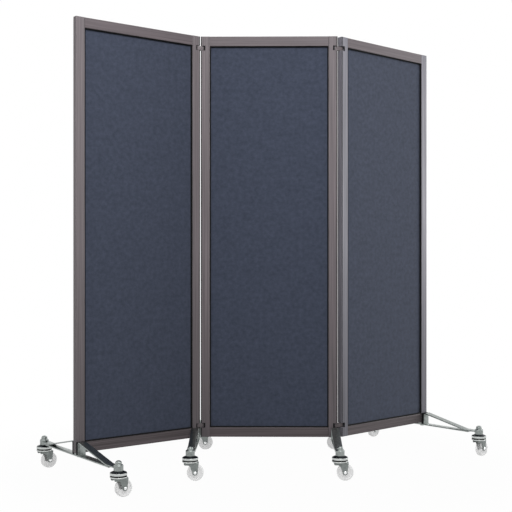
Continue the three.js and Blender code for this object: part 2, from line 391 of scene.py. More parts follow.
@dataclass(frozen=True)
class ZincPlate(Finish):
    """Bright zinc plate on bent and pressed steel: a soft mirror with faint clouds in its gloss."""

    swing: Point = (0.06, -0.04)
    relief: float = 0.003 * MM
    cloud: float = 14 * MM
    scratch: tuple[float, float, float] = (2.5 * MM, 15 * MM, 2.5 * MM)

    def dress(self, tree: Tree) -> dict[str, Any]:
        """Clouds the colour and the gloss, with fine handling marks in the relief.

        Args:
            tree: The material's tree.

        Returns:
            What the shader's inputs take.
        """
        cloud = self.pattern(tree, (self.cloud,) * 3)
        marks = self.pattern(tree, self.scratch)
        return {"Base Color": self.tint(tree, cloud), **self.skin(tree, marks, cloud)}


@dataclass(frozen=True)
class MouldedNylon(Finish):
    """Moulded white nylon: milky, a little see-through, with a satin skin."""

    swing: Point = (-0.05, 0.08)
    relief: float = 0.01 * MM
    clear: float = 0.66
    ior: float = 1.4
    ripple: float = 6 * MM

    def dress(self, tree: Tree) -> dict[str, Any]:
        """Lets some light through and gives the skin its slight unevenness.

        Args:
            tree: The material's tree.

        Returns:
            What the shader's inputs take.
        """
        uneven = self.pattern(tree, (self.ripple,) * 3)
        return {"Alpha": 1 - self.clear, "IOR": self.ior, **self.skin(tree, uneven, uneven)}


@dataclass(frozen=True)
class MattGrain(Finish):
    """Extruded rubber or pressed fibreboard: matt, its gloss broken up by a dusty grain."""

    swing: Point = (-0.1, 0.1)
    relief: float = 0.02 * MM
    specular: float = 0.2
    grain: float = 1.4 * MM

    def dress(self, tree: Tree) -> dict[str, Any]:
        """Breaks up the gloss and the surface with a fine grain.

        Args:
            tree: The material's tree.

        Returns:
            What the shader's inputs take.
        """
        grain = self.pattern(tree, (self.grain,) * 3)
        return {"Specular IOR Level": self.specular, **self.skin(tree, grain, grain)}


# Coated bars: a warm grey with faint streaks along them, and painted shade that darkens them
# towards the floor.
COAT = CoatedAluminium("coated_aluminium_upright", Slot.FRAME, "#666063", 0.5, light="#877d81")
# Painted light: a paler copy of the coat for the left panel, with stronger painted shade towards
# the floor.
LEFT_PAINTED_LIGHT_COAT = replace(
    COAT,
    name="coated_aluminium_left_painted_light_upright",
    colour="#6d6769",
    light="#8e8589",
    painted_shade_share=0.58,
)
# Painted light: a paler, bluer copy of the coat for the right panel, standing in for the cool light
# on it; also a little glossier.
RIGHT_PAINTED_COOL_LIGHT_COAT = replace(
    COAT,
    name="coated_aluminium_right_painted_cool_light_upright",
    colour="#73727a",
    light="#9d9ba5",
    roughness=0.48,
)
# Rails: painted shade, as darker copies of the coat, the bottom one darker still, with their
# streaks level. Each panel's own copy is turned along its bars.
TOP_PAINTED_SHADE_COAT = replace(COAT, colour="#5f585b", light="#7c7276", grain=Grain.LEVEL)
BOTTOM_PAINTED_SHADE_COAT = replace(TOP_PAINTED_SHADE_COAT, colour="#574f51", light="#7c7275")
# A cast part: the same grey with less contrast and a faint metal gleam, under the same painted
# shade towards the floor.
LINK_COAT = replace(
    COAT, name="coated_cast_link", colour="#6b6466", light="#777073", metallic=0.3
)
# Slate blue with soft clouds and specks, and a faint sheen at a low angle.
CLOTH = PanelCloth("woven_panel_cloth", Slot.FABRIC, "#3a4151", 0.9, light="#4d5467")
# Brown and dusty, behind the cloth.
BOARD = MattGrain("pressed_fibreboard", Slot.FABRIC, "#5a4a3a", 0.85)
# Almost black, with hardly any gloss. Real rubber, and painted shade where its black fills the
# cloth's reveals, runs beside the hinge gaps and covers the end feet's lugs.
BLACK_RUBBER_AND_PAINTED_SHADE = MattGrain("black_rubber_and_painted_shade", Slot.DARK_STEEL, "#09090b", 0.8)
# Bent bar: a grey mirror, blurred by the plating.
ZINC = ZincPlate("zinc_plated_steel", Slot.ZINC, "#7a807e", 0.32, 1.0, "#9ba09e")
# Pressed sheet: darker and more blurred.
PRESSED_ZINC = ZincPlate("zinc_plated_pressing", Slot.ZINC, "#6f7473", 0.42, 1.0, "#858a88")
# Rolled cups: pale and smooth.
ROLLED_ZINC = ZincPlate("zinc_plated_cup", Slot.ZINC, "#b4b8b6", 0.3, 1.0, "#c9ccca")
# A polished head: nearly a clear mirror.
BRIGHT_ZINC = ZincPlate("polished_rivet_steel", Slot.ZINC, "#e6e8e8", 0.16, 1.0, "#f4f5f5")
# Blackened: dark, with soft grey lights on its edges.
BLACK_STEEL = ZincPlate("blackened_steel", Slot.DARK_STEEL, "#1f2226", 0.38, 0.9, "#2b2f34")
# Milky white, so that what lies behind shows faintly.
NYLON = MouldedNylon("moulded_white_nylon", Slot.WHEEL, "#ffffff", 0.8)


# Objects and meshes.


@dataclass(frozen=True)
class Stance:
    """Where a sub-assembly stands: its own origin and the turn of its own X axis about Z."""

    origin: Vector
    turn: float

    @property
    def matrix(self) -> Matrix:
        """The move from the sub-assembly's own frame to the row frame."""
        return Matrix.Translation(self.origin) @ Matrix.Rotation(self.turn, 4, "Z")

    @staticmethod
    def between(first: Vector, second: Vector, before: float = 0.0) -> Stance:
        """Makes the stance whose X axis runs from one point to another.

        Args:
            first: A point on the X axis.
            second: A later point on it.
            before: How far the origin lies before the first point.

        Returns:
            The stance, with its origin on the floor.
        """
        along = (second - first).to_2d().normalized()
        start = first.to_2d() - along * before
        return Stance(Vector((start.x, start.y, 0.0)), math.atan2(along.y, along.x))


def centre_of(node: str) -> Vector:
    """Gives the middle of a node's box.

    Args:
        node: The node's name.

    Returns:
        The middle, in the row frame.
    """
    low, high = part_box(node)
    return (low + high) / 2


def joint(name: str) -> dict[str, Any]:
    """Finds a joint of the frame.

    Args:
        name: The joint's name.

    Returns:
        The joint's entry.
    """
    return next(j for j in FRAME["joints"] if j["name"] == name)


def placed(name: str, data: bpy.types.ID) -> bpy.types.Object:
    """Puts a mesh, a lamp or a camera into the scene.

    Args:
        name: The object's name.
        data: What the object shows.

    Returns:
        The object.
    """
    made = bpy.data.objects.new(name, data)
    bpy.context.scene.collection.objects.link(made)
    return made


def applied(holder: bpy.types.Object) -> Mesh:
    """Turns an object with modifiers into a plain mesh, and removes the object.

    Args:
        holder: The object.

    Returns:
        The mesh.
    """
    graph = bpy.context.evaluated_depsgraph_get()
    result = bpy.data.meshes.new_from_object(holder.evaluated_get(graph))
    bpy.data.objects.remove(holder)
    return result


def paint(mesh: Mesh, finish: Finish) -> None:
    """Makes a finish the only material of a mesh.

    Args:
        mesh: The mesh.
        finish: The finish.
    """
    mesh.materials.clear()
    mesh.materials.append(finish.material())


def rounded(corners: Sequence[Corner], closed: bool, steps: int = 6) -> list[Point]:
    """Rounds the corners of an outline with true arcs.

    Args:
        corners: Each corner as two coordinates and the radius of its arc.
        closed: Whether the last corner joins the first.
        steps: How many segments an arc gets.

    Returns:
        The points of the outline.
    """
    points: list[Point] = []
    count = len(corners)
    for i, (x, y, radius) in enumerate(corners):
        if radius <= 0 or (not closed and i in (0, count - 1)):
            points.append((x, y))
            continue
        here = Vector((x, y))
        back = Vector(corners[i - 1][:2]) - here
        ahead = Vector(corners[(i + 1) % count][:2]) - here
        half = back.angle(ahead) / 2
        trim = min(radius / math.tan(half), back.length / 2, ahead.length / 2)
        inwards = (back.normalized() + ahead.normalized()).normalized()
        middle = here + inwards * (trim / math.cos(half))
        enter = here + back.normalized() * trim - middle
        leave = here + ahead.normalized() * trim - middle
        start = math.atan2(enter.y, enter.x)
        sweep = (math.atan2(leave.y, leave.x) - start + math.pi) % (2 * math.pi) - math.pi
        for step in range(steps + 1):
            angle, reach = start + sweep * step / steps, enter.length
            points.append((middle.x + reach * math.cos(angle), middle.y + reach * math.sin(angle)))
    return points


def rectangle(x: Point, y: Point, radius: float = 0.0, steps: int = 3) -> list[Point]:
    """Gives the outline of a rectangle.

    Args:
        x: Its least and greatest first coordinate.
        y: Its least and greatest second coordinate.
        radius: The radius of its corners.
        steps: How many segments a round corner gets.

    Returns:
        The points of the outline.
    """
    corners = [(x[0], y[0]), (x[1], y[0]), (x[1], y[1]), (x[0], y[1])]
    return rounded([(*corner, radius) for corner in corners], True, steps)


def break_edges(
    bm: bmesh.types.BMesh, width: float, angle: float = 40.0, profile: float = 0.6
) -> None:
    """Rounds every edge that is sharper than an angle.

    Args:
        bm: The mesh being edited.
        width: The width of the rounding.
        angle: The least angle between the two faces, in degrees.
        profile: How full the rounding is.
    """
    least = math.radians(angle)
    keen = [e for e in bm.edges if len(e.link_faces) == 2 and e.calc_face_angle(0) > least]
    options = {"segments": 2, "affect": "EDGES", "profile": profile, "clamp_overlap": True}
    bmesh.ops.bevel(bm, geom=keen, offset=width, **options)


def finished_mesh(bm: bmesh.types.BMesh, name: str, sharp: float = 35.0) -> Mesh:
    """Merges doubles, turns faces outwards and smooths all but the sharp edges.

    Args:
        bm: The mesh being edited, which is freed.
        name: The mesh's name.
        sharp: The angle in degrees above which an edge stays sharp.

    Returns:
        The mesh.
    """
    bmesh.ops.remove_doubles(bm, verts=bm.verts, dist=0.002 * MM)
    bmesh.ops.recalc_face_normals(bm, faces=bm.faces)
    for face in bm.faces:
        face.smooth = True
    mesh = bpy.data.meshes.new(name)
    bm.to_mesh(mesh)
    bm.free()
    mesh.set_sharp_from_angle(angle=math.radians(sharp))
    return mesh


def joined(parts: Iterable[Mesh], name: str) -> Mesh:
    """Joins meshes into one.

    Args:
        parts: The meshes.
        name: The new mesh's name.

    Returns:
        The mesh.
    """
    bm = bmesh.new()
    for part in parts:
        bm.from_mesh(part)
    return finished_mesh(bm, name)


def shell(
    rings: Sequence[Sequence[Vector]],
    name: str,
    looped: bool = False,
    split: bool = False,
    edge: float = 0.0,
) -> Mesh:
    """Joins rings of points into a closed mesh with its faces pointing out.

    Args:
        rings: Rings with the same number of points.
        name: The mesh's name.
        looped: Whether the last ring joins the first. If not, each of the two gets a face.
        split: Whether each ring stays open between its last point and its first.
        edge: The width of the broken edges.

    Returns:
        The mesh.
    """
    bm = bmesh.new()
    made = [[bm.verts.new(p) for p in ring] for ring in rings]
    for ring, following in zip(made, made[1:] + (made[:1] if looped else [])):
        for j in range(len(ring) - 1 if split else len(ring)):
            k = (j + 1) % len(ring)
            bm.faces.new((ring[j], ring[k], following[k], following[j]))
    if not looped:
        bm.faces.new(reversed(made[0]))
        bm.faces.new(made[-1])
    if edge:
        bmesh.ops.recalc_face_normals(bm, faces=bm.faces)
        break_edges(bm, edge)
    return finished_mesh(bm, name)


def turned(profile: Sequence[Point], name: str, steps: int = 64) -> Mesh:
    """Turns a profile about Z.

    Args:
        profile: Points as radius and height. It closes on itself where it stays off the axis.
        name: The mesh's name.
        steps: How many steps the turn has.

    Returns:
        The mesh. Where it meets the axis, its doubled points become one.
    """
    angles = [2 * math.pi * step / steps for step in range(steps)]
    rings = [[Vector((r * math.cos(a), r * math.sin(a), z)) for r, z in profile] for a in angles]
    return shell(rings, name, looped=True, split=profile[0][0] == 0)


def bent_strip(path: Sequence[Point], width: float, thick: float, edge: float, name: str) -> Mesh:
    """Carries the section of a flat bar along a path in the YZ plane.

    Args:
        path: The points of the bar's middle line, as Y and Z.
        width: The bar's width, along X.
        thick: The bar's thickness.
        edge: The rounding of its long edges.
        name: The mesh's name.

    Returns:
        The mesh.
    """
    section = rectangle((-width / 2, width / 2), (-thick / 2, thick / 2), edge)
    line = [Vector(p) for p in path]
    rings = []
    for i, here in enumerate(line):
        back = (here - line[i - 1]).normalized() if i else None
        ahead = (line[i + 1] - here).normalized() if i + 1 < len(line) else None
        way = ((back or ahead) + (ahead or back)).normalized()
        normal = Vector((-way.y, way.x)) / way.dot(ahead or back)
        rings.append([Vector((x, *(here + normal * n))) for x, n in section])
    return shell(rings, name)


def block(
    outline: Sequence[Point], low: float, high: float, axes: str, edge: float, name: str
) -> Mesh:
    """Makes a plate of any outline, with its edges broken.

    Args:
        outline: The plate's points.
        low: Where it starts across the outline.
        high: Where it ends.
        axes: The two axes of the outline, then the one across it, such as "YZX".
        edge: The width of the broken edges.
        name: The mesh's name.

    Returns:
        The mesh.
    """
    rings = []
    for across in (low, high):
        spots = [dict(zip(axes, (*point, across))) for point in outline]
        rings.append([Vector((s["X"], s["Y"], s["Z"])) for s in spots])
    return shell(rings, name, edge=edge)


def common_part(first: Mesh, second: Mesh, edge: float, name: str) -> Mesh:
    """Keeps what two closed meshes share, with its edges broken.

    Args:
        first: One mesh.
        second: The other.
        edge: The width of the broken edges.
        name: The new mesh's name.

    Returns:
        The mesh.
    """
    holder, other = placed(f"{name}_0", first), placed(f"{name}_1", second)
    modifier = holder.modifiers.new("share", "BOOLEAN")
    modifier.operation, modifier.solver, modifier.object = "INTERSECT", "EXACT", other
    bm = bmesh.new()
    bm.from_mesh(applied(holder))
    bpy.data.objects.remove(other)
    flat = math.radians(0.5)  # faces closer to one plane than this are made one
    bmesh.ops.dissolve_limit(bm, angle_limit=flat, verts=bm.verts, edges=bm.edges)
    break_edges(bm, edge)
    return finished_mesh(bm, name)


@dataclass
class Assembly:
    """A sub-assembly, which stands somewhere and rides on a body."""

    name: str
    body: str
    stance: Stance = field(init=False)
    pieces: list[str] = field(init=False, default_factory=list)

    def build(self) -> None:
        """Fits the sub-assembly's pieces."""
        raise NotImplementedError

    def node(self, part: str) -> Mesh:
        """Gives the mesh of one of the sub-assembly's own nodes.

        Args:
            part: The node's name after the sub-assembly's.

        Returns:
            The mesh.
        """
        return FRAME["nodes"][f"{self.name}_{part}"].data

    def fit(
        self,
        part: str,
        mesh: Mesh,
        finish: Finish,
        node: str = "",
        body: str = "",
        slot: Slot | None = None,
        move: Matrix = STAY,
    ) -> bpy.types.Object:
        """Makes one piece from a mesh in the sub-assembly's own frame.

        Args:
            part: The piece's name after the sub-assembly's.
            mesh: Its mesh, which is copied.
            finish: The piece's finish.
            node: The node that it replaces, if any, named in the same way.
            body: The body that it rides on, if that isn't the sub-assembly's.
            slot: Not used; meant as the record's slot for it, if that isn't the finish's.
            move: How the mesh is moved in the sub-assembly's frame.

        Returns:
            The piece.
        """
        name = f"{self.name}_{part}"
        own = mesh.copy()
        own.name = name
        own.transform(self.stance.matrix @ move)
        paint(own, finish)
        piece = placed(name, own)
        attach(piece, body or self.body)
        if node:
            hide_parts(f"{self.name}_{node}")
        self.pieces.append(name)
        log.info("%s rides on %s", name, body or self.body)
        return piece


# Geometry Nodes.


@dataclass(frozen=True)
class NodeShape:
    """A shape that a Geometry Nodes tree makes from named sizes."""

    name: str
    inputs: tuple[tuple[str, str], ...]

    def shape(self, tree: Tree, size: Any) -> Node:
        """Makes the shape.

        Args:
            tree: The tree.
            size: The tree's named inputs.

        Returns:
            The node that gives the geometry.
        """
        raise NotImplementedError

    def build(self) -> Tree:
        """Makes the tree: named inputs, the shape, then real geometry with its material.

        Returns:
            The tree.
        """
        tree = bpy.data.node_groups.new(self.name, "GeometryNodeTree")
        geometry = ("Geometry", "NodeSocketGeometry")
        for label, kind in (geometry, *self.inputs, ("Material", "NodeSocketMaterial")):
            tree.interface.new_socket(label, in_out="INPUT", socket_type=kind)
        tree.interface.new_socket(geometry[0], in_out="OUTPUT", socket_type=geometry[1])
        size = add_node(tree, "NodeGroupInput").outputs
        real = add_node(tree, "GeometryNodeRealizeInstances", {0: self.shape(tree, size)})
        dressed = add_node(
            tree, "GeometryNodeSetMaterial", {"Geometry": real, "Material": size["Material"]}
        )
        add_node(tree, "NodeGroupOutput", {0: dressed})
        return tree

    def mesh(self, start: Mesh, finish: Finish, values: dict[str, Any]) -> Mesh:
        """Runs the tree, which is made the first time, on a mesh.

        Args:
            start: The mesh that it starts from.
            finish: The finish of the shape.
            values: A value for each named input.

        Returns:
            The result as a plain mesh.
        """
        tree = bpy.data.node_groups.get(self.name) or self.build()
        holder = placed(self.name, start)
        modifier = holder.modifiers.new(self.name, "NODES")
        modifier.node_group = tree
        sockets = {s.name: s.identifier for s in tree.interface.items_tree if s.in_out == "INPUT"}
        for label, value in {**values, "Material": finish.material()}.items():
            modifier[sockets[label]] = value
        return applied(holder)


@dataclass(frozen=True)
class StretchedCloth(NodeShape):
    """Cloth stretched over a board: flat at its edges, hardly waving between them."""

    name: str = "stretched_cloth"
    inputs: tuple[tuple[str, str], ...] = (
        ("Width", "NodeSocketFloat"),
        ("Height", "NodeSocketFloat"),
        ("Across", "NodeSocketInt"),
        ("Up", "NodeSocketInt"),
        ("Wave", "NodeSocketFloat"),
        ("Seed", "NodeSocketFloat"),
    )
    wave_length: float = 120 * MM
    flat_edge: float = 15 * MM  # how far from the edge the cloth stays flat
    wave_edge: float = 45 * MM  # and from where on it waves fully

    def shape(self, tree: Tree, size: Any) -> Node:
        """Lifts a grid by a smooth noise that fades out towards its edges.

        Args:
            tree: The tree.
            size: The tree's named inputs.

        Returns:
            The node that gives the geometry.
        """
        cells = {"Vertices X": size["Across"], "Vertices Y": size["Up"]}
        grid = add_node(
            tree,
            "GeometryNodeMeshGrid",
            {"Size X": size["Width"], "Size Y": size["Height"], **cells},
        )
        place = add_node(tree, "GeometryNodeInputPosition")
        split = add_node(tree, "ShaderNodeSeparateXYZ", {0: place})
        rooms = {}
        for i, (axis, span) in enumerate((("X", "Width"), ("Y", "Height"))):
            off = add_node(tree, "ShaderNodeMath", {0: split.outputs[axis]}, operation="ABSOLUTE")
            half = add_node(tree, "ShaderNodeMath", {0: size[span], 1: 0.5}, operation="MULTIPLY")
            rooms[i] = add_node(tree, "ShaderNodeMath", {0: half, 1: off}, operation="SUBTRACT")
        least = add_node(tree, "ShaderNodeMath", rooms, operation="MINIMUM")
        fade = add_node(
            tree,
            "ShaderNodeMapRange",
            {"Value": least, "From Min": self.flat_edge, "From Max": self.wave_edge},
            interpolation_type="SMOOTHSTEP",
        )
        noise = add_node(
            tree,
            "ShaderNodeTexNoise",
            {"Vector": place, "W": size["Seed"], "Scale": 1 / self.wave_length, "Detail": 1.0},
            noise_dimensions="4D",
        )
        lift: Node = noise
        for factor in (size["Wave"], fade):
            lift = add_node(tree, "ShaderNodeMath", {0: lift, 1: factor}, operation="MULTIPLY")
        offset = add_node(tree, "ShaderNodeCombineXYZ", {"Z": lift})
        apart = add_node(tree, "ShaderNodeCombineXYZ", {"X": size["Seed"]})
        spot = add_node(tree, "ShaderNodeVectorMath", {0: place, 1: apart}, operation="ADD")
        flat = add_node(
            tree,
            "GeometryNodeStoreNamedAttribute",
            {"Geometry": grid, "Name": "UVMap", "Value": spot},
            data_type="FLOAT2",
            domain="CORNER",
        )
        return add_node(tree, "GeometryNodeSetPosition", {"Geometry": flat, "Offset": offset})


@dataclass(frozen=True)
class WeldBead(NodeShape):
    """A weld seam: overlapping drops of metal along a line."""

    name: str = "weld_bead"
    inputs: tuple[tuple[str, str], ...] = (
        ("Drop Radius", "NodeSocketFloat"),
        ("Drop Spacing", "NodeSocketFloat"),
    )

    def shape(self, tree: Tree, size: Any) -> Node:
        """Sets a smooth drop at even steps along the mesh's edges.

        Args:
            tree: The tree.
            size: The tree's named inputs.

        Returns:
            The node that gives the geometry.
        """
        line = {"Curve": add_node(tree, "GeometryNodeMeshToCurve", {0: size["Geometry"]})}
        steps = {**line, "Length": size["Drop Spacing"]}
        even = add_node(tree, "GeometryNodeResampleCurve", steps, mode="LENGTH")
        ball = {"Segments": 10, "Rings": 6, "Radius": size["Drop Radius"]}
        drop = add_node(tree, "GeometryNodeMeshUVSphere", ball)
        smooth = add_node(tree, "GeometryNodeSetShadeSmooth", {0: drop})
        return add_node(
            tree, "GeometryNodeInstanceOnPoints", {"Points": even, "Instance": smooth}
        )


# Panels.


@dataclass(frozen=True)
class Trim:
    """The section of thin rubber bars on a stile's front, beside a hinge. Along the stile's corner
    they are painted shade from the gap between two stiles.
    """

    inset: float  # from the stile's outer edge
    width: float
    edge: float


@dataclass
class PanelKit:
    """What the three panels share. The sizes are read from the centre one, which lies along X."""

    cloth_thick: float = 0.4 * MM
    wave: float = 0.2 * MM
    cloth_cells: tuple[int, int] = (40, 120)
    core_corner: float = 1 * MM
    core_edge: float = 0.5 * MM
    gasket_width: float = 4.6 * MM
    gasket_from_face: float = 0.3 * MM  # how far the gasket stays behind the frame's face; so little that its black fills the reveal as painted shade
    strip: Trim = Trim(0.3 * MM, 3.6 * MM, 0.1 * MM)  # along the stile's corner: painted shade, a black bar where the gap between two stiles shades the corner
    cap: Trim = Trim(14 * MM, 4.6 * MM, 0.15 * MM)  # over the inner end of a link's slot
    cap_height: float = 20 * MM
    trim_rise: float = 0.3 * MM  # how far both stand out of the frame's face
    trim_root: float = 0.6 * MM  # and how far they go into it
    link_room: float = 2 * MM  # between a strip's end and a link

    def __post_init__(self) -> None:
        """Reads the sizes off the centre panel and the left hinge."""
        self.board_low, self.board_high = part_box("centre_panel_fabric_board")
        stile_low, stile_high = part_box("centre_panel_left_stile")
        self.left_edge = stile_low.x
        self.depth = stile_high.y - stile_low.y
        self.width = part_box("centre_panel_right_stile")[1].x - stile_low.x
        self.stile_width = stile_high.x - stile_low.x
        bottom, top = (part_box(f"centre_panel_{end}_rail") for end in ("bottom", "top"))
        self.opening_z = (bottom[1].z, top[0].z)
        self.board_thick = self.board_high.y - self.board_low.y
        stops, self.caps = [stile_low.z + self.strip.inset], []
        for end in ("bottom", "top"):
            low, high = (corner.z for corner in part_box(f"left_hinge_{end}_link"))
            stops += [low - self.link_room, high + self.link_room]
            middle, half = (low + high) / 2, self.cap_height / 2
            self.caps.append((middle - half, middle + half))
        stops.append(stile_high.z - self.strip.inset)
        self.strips = list(zip(stops[::2], stops[1::2]))

    def cloth(self, seed: float) -> Mesh:
        """Makes the cloth of one side in the panel's own frame, on the front.

        Args:
            seed: Gives each cloth its own waves.

        Returns:
            The mesh.
        """
        size = self.board_high - self.board_low
        sheet = StretchedCloth().mesh(
            bpy.data.meshes.new("cloth_start"),
            CLOTH,
            {
                "Width": size.x - 2 * SKIN,
                "Height": size.z - 2 * SKIN,
                "Across": self.cloth_cells[0] + 1,
                "Up": self.cloth_cells[1] + 1,
                "Wave": self.wave,
                "Seed": seed,
            },
        )
        holder = placed("cloth", sheet)
        thicken = holder.modifiers.new("thickness", "SOLIDIFY")
        thicken.thickness, thicken.offset = self.cloth_thick, -1.0
        solid = applied(holder)
        for face in solid.polygons:
            face.use_smooth = True
        middle = (self.board_low.z + self.board_high.z) / 2
        out = (self.board_thick + self.cloth_thick) / 2
        stand = Matrix.Rotation(math.pi / 2, 4, "X")
        solid.transform(Matrix.Translation((self.width / 2, -out, middle)) @ stand)
        return solid

    def core(self) -> Mesh:
        """Makes the board under the cloth.

        Returns:
            The mesh, in the panel's own frame.
        """
        x = (self.board_low.x - self.left_edge + SKIN, self.board_high.x - self.left_edge - SKIN)
        z = (self.board_low.z + SKIN, self.board_high.z - SKIN)
        half = (self.board_thick - self.cloth_thick) / 2 - SKIN
        outline = rectangle(x, z, self.core_corner)
        return block(outline, -half, half, "XZY", self.core_edge, "board_core")

    def trim(self, trim: Trim, stretches: Iterable[Point], at_left: bool, name: str) -> Mesh:
        """Makes thin bars up the front of a stile.

        Args:
            trim: Their section and place.
            stretches: The height at which each bar starts and ends.
            at_left: Whether they are on the panel's left stile, seen from their own side.
            name: The mesh's name.

        Returns:
            The mesh, in the panel's own frame, on the front.
        """
        ends = (trim.inset, trim.inset + trim.width)
        if not at_left:
            ends = (self.width - ends[1], self.width - ends[0])
        face = -self.depth / 2
        outline = rectangle(ends, (face - self.trim_rise, face + self.trim_root))
        bars = [block(outline, low, high, "XYZ", trim.edge, name) for low, high in stretches]
        return joined(bars, name)

    def gasket_and_reveal_shade(self) -> Mesh:
        """Makes the rubber strip that runs round the cloth, with mitred corners. It fills the
        reveal up to the frame's face, so that its black also paints the reveal's shade.

        Returns:
            The mesh, in the panel's own frame, on the front.
        """
        near = (self.board_thick + self.cloth_thick) / 2 + self.wave + SKIN
        far = self.depth / 2 - self.gasket_from_face
        w, bend = self.gasket_width, self.gasket_width / 2
        flank = [(SKIN, near, 0), (w, near, 0), (w, far - bend, bend)]
        section = rounded([*flank, (bend, far, bend), (SKIN, far, 0)], True, 4)
        x0, x1 = self.stile_width, self.width - self.stile_width
        z0, z1 = self.opening_z
        rings = [
            [Vector((x + sx * u, -v, z + sz * u)) for u, v in section]
            for x, z, sx, sz in ((x0, z0, 1, 1), (x1, z0, -1, 1), (x1, z1, -1, -1), (x0, z1, 1, -1))
        ]
        return shell(rings, "gasket_and_reveal_shade", looped=True)


@dataclass
class Panel(Assembly):
    """One panel: a bar frame, a cloth-covered board and a gasket on each side, whose black also
    paints the reveal's shade.
    """

    kit: PanelKit
    marks: tuple[str, str]  # two nodes on the panel's middle line, from left to right
    inset: float  # from the panel's left edge to the first of them
    seed: float
    hinged: tuple[str, ...]  # the edges that face another panel
    coat: CoatedAluminium  # the finish of its uprights, a copy of the coat with this panel's own painted light and shade

    def build(self) -> None:
        """Finishes the bars and fits the board, cloths, gaskets and trims."""
        kit = self.kit
        first, second = (centre_of(mark) for mark in self.marks)
        self.stance = Stance.between(first, second, self.inset)
        # The uprights get the panel's painted-light copy of the coat, the rails the darker
        # painted-shade copies.
        for side in ("left", "right"):
            paint(self.node(f"{side}_stile"), self.coat)
        for end, coat in (("top", TOP_PAINTED_SHADE_COAT), ("bottom", BOTTOM_PAINTED_SHADE_COAT)):
            name = f"coated_aluminium_{self.name}_{end}"
            paint(self.node(f"{end}_rail"), replace(coat, name=name, turn=self.stance.turn))
        core = self.fit("board_core", kit.core(), BOARD, "fabric_board")
        across = Matrix.Translation((kit.width, 0, 0)) @ Matrix.Rotation(math.pi, 4, "Z")
        for side, sign, move in (("front", 1, STAY), ("back", -1, across)):
            cloth = self.fit(f"{side}_cloth", kit.cloth(sign * self.seed), CLOTH, move=move)
            self.fit(f"{side}_gasket", kit.gasket_and_reveal_shade(), BLACK_RUBBER_AND_PAINTED_SHADE, move=move)
            # On each hinged edge: caps over the links' slots, and black strips that paint the shade
            # of the gap between the stiles.
            for edge in self.hinged:
                at_left = (edge == "left") is (side == "front")
                for part, trim, stretches in (
                    ("slot_caps", kit.cap, kit.caps),
                    ("strip", kit.strip, kit.strips),
                ):
                    mesh = kit.trim(trim, stretches, at_left, part)
                    self.fit(f"{edge}_{side}_{part}", mesh, BLACK_RUBBER_AND_PAINTED_SHADE, move=move)


# Hinges.


@dataclass
class HingeLink(Assembly):
    """A link between the pins of two stiles."""

    radius: float = 6 * MM
    height: float = 18 * MM
    edge: float = 0.7 * MM
    cover_lap: float = 1.8 * MM  # how far the cover goes past a pin's axis
    cover_rise: float = 0.2 * MM
    cover_height: float = 17 * MM
    cover_corner: float = 1 * MM

    def build(self) -> None:
        """Fits the link and its cover over its node and finishes the two pins."""
        first, second = (centre_of(f"{self.name}_{side}_pin") for side in ("left", "right"))
        self.stance = Stance.between(first, second)
        reach, r = (second - first).to_2d().length, self.radius
        lap, y = self.cover_lap, self.radius + self.cover_rise
        plate = rectangle((-r, reach + r), (-r, r), r, 10)
        cover = rectangle((-lap, reach + lap), (-y, y), self.cover_corner)
        for part, outline, height, finish, node in (
            ("link_plate", plate, self.height, BLACK_STEEL, "link"),
            ("link_cover", cover, self.cover_height, LINK_COAT, ""),
        ):
            half = height / 2
            mesh = block(outline, first.z - half, first.z + half, "XYZ", self.edge, part)
            self.fit(part, mesh, finish, node, slot=Slot.FRAME)
        for side in ("left", "right"):
            paint(self.node(f"{side}_pin"), BLACK_STEEL)


# Feet.


@dataclass(frozen=True)
class RubberPad:
    """A rubber pad between a foot's upright and the stile."""

    low: float
    height: float
    width: float
    edge: float


